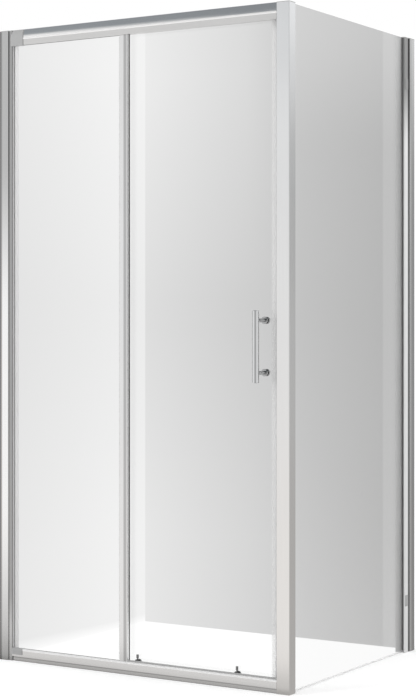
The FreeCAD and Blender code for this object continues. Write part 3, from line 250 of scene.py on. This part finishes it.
def front_post_tone(g):
    """The left post's narrow face is painted lighter at its foot. Its cheek has painted shade up to the
    gasket, then a pale painted highlight.
    """
    place = g.place()
    # painted light on the face; painted shade and a painted highlight on the cheek
    face = g.map(place["Z"], 0.08, 0.22, 0.6, 0.4, smooth=True)
    cheek = g.map(place["Y"], POST_GASKET - 0.0005, POST_GASKET + 0.0005, 0.31, 1.0)
    return g.blend(left_post_cheek(g), face, cheek)


def front_post_metal(g):
    """The left post's cheek is made nearly all satin, a painted highlight that the lamps light."""
    return g.math("SUBTRACT", 1.0, g.product(left_post_cheek(g), 0.85))


def side_profile_tone(g):
    """The side wall profile has painted light: paler at its mouth, but not near the top."""
    place = g.place()
    inward = g.map(place["Y"], SIDE_MOUTH, SIDE_MOUTH + 0.022, 0.0, 1.0)
    up = g.map(place["Z"], 1.45, 1.75, 0.0, 1.0, smooth=True)
    return g.blend(up, g.blend(inward, 0.8, 0.46), g.blend(inward, 0.41, 0.55))


def side_post_painted_tone(g):
    """The side post has painted light and shade: pale outside and darker toward the top, with painted shade
    in its neck and on the face that is turned to the pane.
    """
    place = g.place()
    face = g.map(place["Z"], 1.55, 1.78, 0.92, 0.3, smooth=True)
    neck = g.map(place["Z"], 1.4, 1.75, 0.2, 0.09)
    outside = g.blend(g.map(place["Y"], SIDE_NECK - STEP, SIDE_NECK + STEP, 0.0, 1.0), face, neck)
    inside = g.map(place["X"], RIGHT_FACE - 0.034, RIGHT_FACE - 0.01, 0.56, 0.22)
    return g.blend(g.map(place["X"], RIGHT_FACE - 0.006, RIGHT_FACE - 0.002, 0.0, 1.0), inside, outside)


def sill_top(g, low, high):
    """low on the sill's face and foot, high on its rounded top edge."""
    return g.map(g.place()["Z"], SILL_TOP - 0.007, SILL_TOP - 0.004, low, high, smooth=True)


def sill_tone(g):
    """The sill has painted shade: darker on its foot, with a painted shadow line under the face and at the
    floor.
    """
    z = g.place()["Z"]
    # painted shade on the foot, and painted shadow lines under the face and at the floor
    foot = g.map(z, SILL_FOOT - 0.0005, SILL_FOOT + 0.0005, 0.9, 1.0)
    under = g.window(z, SILL_FOOT - 0.0025, 0.0012, 0.0015, 1.0, 0.72)
    floor = g.window(z, 0.0, 0.0014, 0.0015, 1.0, 0.72)
    # the rounded top edge's higher tone is a painted highlight
    return g.product(sill_top(g, 0.9, 0.94), foot, under, floor)


def sill_metal(g):
    """The sill's top edge is made satin, a painted highlight that the lamps light."""
    return sill_top(g, 1.0, 0.25)


def slim_tone(g):
    """A slim channel with painted shade, darker along a crease in its face."""
    return g.window(g.place()["X"], SLIM_CREASE, 0.002, 0.006, 0.82, 0.5)


def chrome(name, tone, low, high):
    """Chrome plate with faint smudges in its gloss."""
    material, g = new_material(name)
    smudge = g.noise(40.0, detail=4.0)
    g.principled(
        {
            "Base Color": g.mix(smudge, grey(tone * 0.93, -0.01), grey(tone, -0.006)),
            "Metallic": 1.0,
            "Roughness": g.map(smudge, 0.35, 0.75, low, high),
        }
    )
    return material


def steel():
    """Plain steel of screws, studs, axles and springs."""
    material, g = new_material("plain_steel")
    grain = g.noise(900.0, detail=2.0)
    g.principled(
        {
            "Base Color": g.mix(grain, grey(0.5), grey(0.62)),
            "Metallic": 1.0,
            "Roughness": g.map(grain, 0.2, 0.8, 0.22, 0.38),
        }
    )
    return material


def moulded(name, tone, roughness, warmth=0.0, coat=0.0, upper=1.0):
    """Injection-moulded plastic with a fine spark-eroded grain. High up it has upper times its tone, as
    painted shade.
    """
    material, g = new_material(name)
    grain = g.noise(1400.0, detail=2.0)
    cloud = g.noise(12.0, detail=3.0)
    colour = g.mix(cloud, grey(tone * 0.94, warmth), grey(tone * 1.06, warmth))
    if upper != 1.0:
        colour = g.mix(g.map(g.place()["Z"], 0.5, 1.5, 0.0, 1.0), colour, grey(tone * upper, warmth))
    g.principled(
        {
            "Base Color": colour,
            "Roughness": g.map(grain, 0.3, 0.7, roughness * 0.85, roughness * 1.15),
            "Coat Weight": coat,
            "Normal": g.bump(grain, 0.00003, 0.6),
        }
    )
    return material


def rubber(name, low, high):
    """Soft extruded gasket, matt and finely pored."""
    material, g = new_material(name)
    grain = g.noise(700.0, detail=3.0)
    g.principled(
        {
            "Base Color": g.mix(grain, grey(low), grey(high)),
            "Roughness": g.map(grain, 0.2, 0.8, 0.55, 0.75),
            "Normal": g.bump(grain, 0.00004),
        }
    )
    return material


def clear_glass():
    """Toughened glass: clear, with the faint waviness that tempering leaves in its reflections."""
    material, g = new_material("toughened_glass")
    wave = g.noise(3.0, detail=1.0)
    tone = g.mix(g.noise(2.0), (0.985, 0.987, 0.986, 1.0), (0.99, 0.99, 0.988, 1.0))
    g.principled(
        {
            "Base Color": tone,
            "Roughness": 0.0,
            "IOR": 1.5,
            "Transmission Weight": 1.0,
            "Normal": g.bump(wave, 0.0004, 0.5),
        }
    )
    return material


def clear_seal(name, low, high, milky=0.0):
    """Soft clear PVC, faintly ribbed by its die, and milkier where it is solid beyond the door's edge."""
    material, g = new_material(name)
    lines = g.noise(1.0, stretch=(1500.0, 1500.0, 2.0), detail=2.0)
    solid = g.map(g.place()["X"], DOOR_EDGE - 0.001, DOOR_EDGE, 0.0, milky)
    g.principled(
        {
            "Base Color": g.mix(lines, grey(0.88), grey(0.96)),
            "Roughness": g.map(lines, 0.3, 0.7, 0.2, 0.38),
            "Alpha": g.math("ADD", g.map(lines, 0.3, 0.7, low, high), solid),
            "Normal": g.bump(lines, 0.00001),
        }
    )
    return material


def dress_frame():
    """Gives every CAD node its material."""
    dress(aluminium("aluminium_corner", "z", corner_tone, 0.17, corner_warmth), "corner_post")
    dress(aluminium("aluminium_left_wall", "z", front_profile_tone, 0.2), "front_wall_profile")
    left_post = aluminium("aluminium_left_post", "z", front_post_tone, 0.2, metal=front_post_metal)
    dress(left_post, "front_wall_post")
    dress(aluminium("aluminium_side_wall", "z", side_profile_tone, 0.2), "side_wall_profile")
    # Low metal lets the lamps light the side post pale, a painted highlight.
    dress(aluminium("upright_painted_pale", "z", side_post_painted_tone, 0.33, metal=0.2), "side_wall_post")
    dress(aluminium("aluminium_slim", "z", slim_tone, 0.2), "fixed_end_profile", "door_trailing_profile")
    header = aluminium("aluminium_header", "x", header_tone, 0.15, 0.008, header_metal)
    dress(header, "header_rail", "header_cover_strip")
    dress(aluminium("aluminium_sill", "x", sill_tone, 0.16, 0.006, sill_metal), "sill_rail")
    dress(
        moulded("grey_moulded", 0.4, 0.38),
        "front_profile_cap",
        "front_post_cap",
        "header_end_cap",
        "corner_post_cap",
        "side_profile_cap",
        "side_post_cap",
    )
    dress(moulded("grey_moulded_sill", 0.4, 0.38), "sill_end_cap", "sill_cover_strip")
    # painted shade: the screw covers are darker high up
    dress(moulded("pale_moulded", 0.46, 0.34, upper=0.64), "side_screw_covers")
    panes = ("fixed_glass", "door_glass", "side_glass")
    dress(clear_glass(), *panes)
    for name in panes:
        NODES[name].visible_shadow = False
    pvc = clear_seal("clear_pvc", 0.16, 0.22, 0.35)
    dress(pvc, "door_magnet_seal", "corner_magnet_strip", "door_trailing_seal")
    dress(clear_seal("clear_pvc_floor", 0.1, 0.14), "side_bottom_seal")
    dress(
        rubber("soft_rubber", 0.13, 0.2),
        "header_gasket",
        "sill_gasket",
        "side_post_gasket",
        "door_bumpers",
        "handle_washers",
    )
    dress(rubber("mid_rubber", 0.84, 0.92), "fixed_post_gasket")
    dress(rubber("pale_rubber", 0.5, 0.6), "side_corner_gasket", "door_magnet")
    dress(chrome("polished_chrome", 0.74, 0.04, 0.12), "handle_bar", "carriage_bolts")
    dress(chrome("smoked_chrome", 0.46, 0.1, 0.2), "handle_standoffs", "handle_inner_knobs")
    dress(
        steel(),
        "frame_screws",
        "profile_screws",
        "handle_studs",
        "top_wheel_axles",
        "bottom_axles_left",
        "bottom_axles_right",
        "release_spring_left",
        "release_spring_right",
    )
    dress(moulded("dark_moulded", 0.11, 0.42), "top_carriages", "bottom_guides", "bolt_bushes")
    dress(moulded("mid_moulded", 0.2, 0.4), "release_slider_left", "release_slider_right")
    wheels = [name for name in NODES if "_wheel_" in name and "axles" not in name]
    dress(moulded("white_nylon", 0.72, 0.3, warmth=0.01, coat=0.2), *wheels)


def squash_springs():
    """Gives each release spring a mesh of its own."""
    for side in ("left", "right"):
        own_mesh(NODES[f"release_spring_{side}"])


# ------------------------------------------------------------------ stage, light and camera
GLASS_BACKGROUND = 0.66  # grey that shows through the panes beyond the two walls
OPEN_BACKGROUND = 1.04  # and on the open sides
FLOOR_SIZE = 14.0
CARD_GAP = 0.001  # between a card and the plane of its wall


def seen_through(g, x, y):
    """What shows through the panes toward x and y: grey beyond the walls, and white on the open sides."""
    length = g.math("SQRT", g.math("ADD", g.product(x, x), g.product(y, y)))
    turn = g.math("DIVIDE", g.math("SUBTRACT", y, x), length)
    return g.map(turn, -0.95, 0.75, OPEN_BACKGROUND, GLASS_BACKGROUND, smooth=True)


def from_wall_corner(g, place):
    """How far right of the left wall and beyond the back wall a place is."""
    return g.math("SUBTRACT", place["X"], LEFT_WALL), g.math("SUBTRACT", place["Y"], BACK_WALL)


def stage_floor():
    """White to the camera, with a faint shadow. In metal it shows a painted shadow, dim close to the sill.
    Through the panes it is white inside the enclosure and on its open sides, and turns grey beyond the
    walls."""
    bpy.ops.mesh.primitive_plane_add(size=FLOOR_SIZE, location=(0, 0, 0))
    floor = bpy.context.object
    floor.name = "studio_floor"
    material, g = new_material("studio_floor")
    path = g.add("ShaderNodeLightPath").outputs
    place = g.place()
    through = g.add("ShaderNodeEmission", {"Color": g.tint(seen_through(g, *from_wall_corner(g, place)))})
    ahead = g.math("SUBTRACT", FRONT, place["Y"])
    # painted shadow in reflections: the floor is dim close to the sill
    near = g.map(ahead, 0.02, 0.09, 0.46, 0.68, smooth=True)
    far = g.map(ahead, 0.1, 0.5, 0.0, 0.27, smooth=True)
    mirrored = g.add("ShaderNodeEmission", {"Color": g.tint(g.math("ADD", near, far), 0.012)})
    white = g.add("ShaderNodeBsdfDiffuse", {"Color": grey(0.8)})
    lift = g.add("ShaderNodeEmission", {"Color": g.tint(path["Is Camera Ray"]), "Strength": 0.36})
    lit = g.add("ShaderNodeAddShader")
    g.put(lit.inputs[0], white.outputs[0])
    g.put(lit.inputs[1], lift.outputs[0])
    shader = g.mix_shaders(path["Is Glossy Ray"], lit, mirrored)
    shader = g.mix_shaders(path["Is Transmission Ray"], shader, through)
    g.surface(shader)
    floor.data.materials.append(material)


def backdrop(name, corners, level):
    """A studio card that only shows through the panes. level(graph, place) gives its grey."""
    mesh = bpy.data.meshes.new(name)
    mesh.from_pydata(corners, [], [(0, 1, 2, 3)])
    card = bpy.data.objects.new(name, mesh)
    bpy.context.collection.objects.link(card)
    card.visible_camera = False
    card.visible_diffuse = False
    card.visible_glossy = False
    card.visible_shadow = False
    card.visible_volume_scatter = False
    material, g = new_material(name)
    g.surface(g.add("ShaderNodeEmission", {"Color": g.tint(level(g, g.place()))}))
    mesh.materials.append(material)


def card_height(g, place, low, high):
    """The cards are a little dimmer at half height than low down and high up."""
    return g.math("ADD", g.map(place["Z"], 0.3, 1.0, low, 0.0), g.map(place["Z"], 1.1, 1.85, 1.0, high))


def left_level(g, place):
    """The left card melts into the white floor."""
    level = g.product(g.map(place["Y"], FRONT, 0.6, 0.76, 0.84), card_height(g, place, 0.055, 1.08))
    return g.math("MAXIMUM", level, g.map(place["Z"], 0.0, 0.07, 1.0, 0.7))


def back_level(g, place):
    """The back card falls off to the right, with a painted highlight in a paler strip and then the shade
    beside the side post.
    """
    x = place["X"]
    fall = g.map(x, LEFT_WALL, 0.38, 0.72, 0.455)
    strip = g.window(x, 0.415, 0.022, 0.006, 0.0, 0.055)
    shade = g.map(x, 0.418, 0.472, 0.0, -0.21, smooth=True)
    level = g.math("ADD", g.math("ADD", fall, strip), shade)
    low = g.map(x, -0.1, 0.4, 0.1, 0.05)
    high = g.map(x, -0.1, 0.1, 1.17, 1.05)
    return g.product(level, card_height(g, place, low, high))


def stage_backdrops():
    """Two cards where the walls stood in the photograph."""
    top = HEIGHT * 1.25
    left = LEFT_WALL - CARD_GAP
    back = BACK_WALL + CARD_GAP
    backdrop(
        "left_card",
        [(left, FRONT, 0), (left, back, 0), (left, back, top), (left, FRONT, top)],
        left_level,
    )
    backdrop(
        "back_card",
        [(left, back, 0), (RIGHT_FACE, back, 0), (RIGHT_FACE, back, top), (left, back, top)],
        back_level,
    )


STUDIO_TURN = math.radians(80)  # puts a heading of 0 in front of the enclosure


def mirrored_studio(g):
    """What metal and glass mirror: soft boxes at headings in degrees round about, and a dark ceiling."""
    turned = g.add(
        "ShaderNodeVectorRotate",
        {"Vector": g.add("ShaderNodeTexCoord").outputs["Generated"], "Angle": STUDIO_TURN},
        rotation_type="Z_AXIS",
    )
    ahead = g.add("ShaderNodeSeparateXYZ", {"Vector": turned.outputs[0]}).outputs
    heading = g.math("DEGREES", g.math("ARCTAN2", ahead["Y"], ahead["X"]))
    ray = g.place("Generated")
    front_box = g.window(heading, -42, 18, 14, 0.0, 0.45)
    left_box = g.window(heading, -90, 20, 16, 0.0, 0.15)
    right_box = g.window(heading, 78, 24, 18, 0.0, 0.42)
    above = g.map(ray["Z"], 0.09, 0.17, 0.0, 1.0, smooth=True)
    high_box = g.product(g.window(heading, 148, 26, 12, 0.0, 0.75), above)
    walls = 0.5
    for box in (front_box, left_box, right_box, high_box):
        walls = g.math("ADD", walls, box)
    front = g.map(ray["Y"], -0.3, 0.3, 1.0, 0.0, smooth=True)
    right = g.map(ray["X"], -0.61, -0.47, 0.0, 1.0)
    lower = g.product(front, right, 0.12)
    ceiling = g.map(g.math("ADD", ray["Z"], lower), 0.27, 0.40, 0.0, 1.0, smooth=True)
    dark = g.tint(g.blend(right, 0.3, 0.235), -0.07)
    return g.mix(ceiling, g.tint(walls), dark)


def world():
    """A pale studio: white to the camera, grey or white through the panes, soft boxes in reflections."""
    sky = bpy.data.worlds.new("studio")
    bpy.context.scene.world = sky
    sky.use_nodes = True
    g = Graph(sky.node_tree)
    path = g.add("ShaderNodeLightPath").outputs
    colour = g.mix(path["Is Glossy Ray"], grey(0.85), mirrored_studio(g))
    ray = g.place("Generated")
    colour = g.mix(path["Is Transmission Ray"], colour, g.tint(seen_through(g, ray["X"], ray["Y"])))
    colour = g.mix(path["Is Camera Ray"], colour, grey(1.0))
    g.surface(g.add("ShaderNodeBackground", {"Color": colour}), "ShaderNodeOutputWorld")


def lamp(name, place, target, size, power):
    """A soft area lamp that metal and glass don't show."""
    data = bpy.data.lights.new(name, "AREA")
    data.shape = "RECTANGLE"
    data.size, data.size_y = size
    data.energy = power
    obj = bpy.data.objects.new(name, data)
    bpy.context.collection.objects.link(obj)
    obj.location = place
    obj.rotation_euler = (Vector(target) - Vector(place)).to_track_quat("-Z", "Y").to_euler()
    obj.visible_glossy = False
    obj.visible_transmission = False


def lights():
    """A key light from the left and a weaker fill from the right."""
    lamp("key", (-2.2, -3.2, 3.0), (0, 0.3, 0.9), (1.6, 2.6), 45)
    lamp("fill", (3.4, -1.0, 2.2), (0, 0.4, 0.9), (1.4, 2.4), 20)


# the photograph's viewing angle
PHOTO_WIDTH = 416
PHOTO_HEIGHT = 697
FOCAL_PX = 1782.4
PRINCIPAL_X = 195.6
HORIZON_Y = 320.61
CAMERA_YAW = math.radians(31.915)
CAMERA_PLACE = (2.8575, -4.2872, 1.0248)
SENSOR = 36.0


def camera():
    """The photograph's camera: level, with its picture shifted as the photograph is cropped."""
    data = bpy.data.cameras.new("camera")
    cam = bpy.data.objects.new("camera", data)
    bpy.context.collection.objects.link(cam)
    data.sensor_fit = "AUTO"
    data.sensor_width = SENSOR
    data.lens = FOCAL_PX / PHOTO_HEIGHT * SENSOR
    data.shift_x = (PHOTO_WIDTH / 2 - PRINCIPAL_X) / PHOTO_HEIGHT
    data.shift_y = (HORIZON_Y - PHOTO_HEIGHT / 2) / PHOTO_HEIGHT
    cam.location = CAMERA_PLACE
    cam.rotation_euler = (math.radians(90), 0, CAMERA_YAW)
    bpy.context.scene.camera = cam


bpy.context.scene.view_settings.view_transform = "Standard"
camera()
stage_floor()
stage_backdrops()
world()
lights()
dress_frame()
squash_springs()
